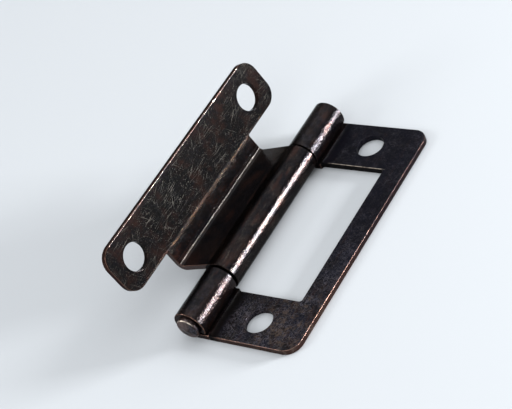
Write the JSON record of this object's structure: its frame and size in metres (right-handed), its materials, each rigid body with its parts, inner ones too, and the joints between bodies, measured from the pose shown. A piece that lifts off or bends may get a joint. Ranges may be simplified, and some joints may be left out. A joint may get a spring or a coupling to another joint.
{
  "type": "cranked hinge",
  "caption": "Sheet-metal cranked hinge: a windowed frame leaf and a right-angled eared leaf on one headed pin, swung open.",
  "frame": {"origin": "midway between the frame leaf's two screw holes, on the leaf's outer face", "axes": "+Y along the pin away from its head, +X from the pin towards the frame leaf's outer edge, +Z square to the frame leaf, towards the barrel"},
  "size_m": [0.0338, 0.0511, 0.0164],
  "materials": {
    "frame_leaf_bronze": "antique bronze plating, near black, worn to copper on its edges",
    "cranked_leaf_bronze": "antique bronze plating, dark brown with fine scratches, worn to copper on its edges",
    "pin_bronze": "antique bronze plating, dark brown"
  },
  "bodies": {
    "frame": {"frame_leaf": "frame_leaf_bronze", "hinge_pin": "pin_bronze"},
    "crank": {"cranked_leaf": "cranked_leaf_bronze"}
  },
  "joints": [
    {"name": "leaf_swing", "type": "hinge", "parent": "frame", "child": "crank", "pos_m": [-0.0105, 0, 0.00295], "axis": [0, -1, 0], "range_deg": [-137, 165.4]}
  ]
}
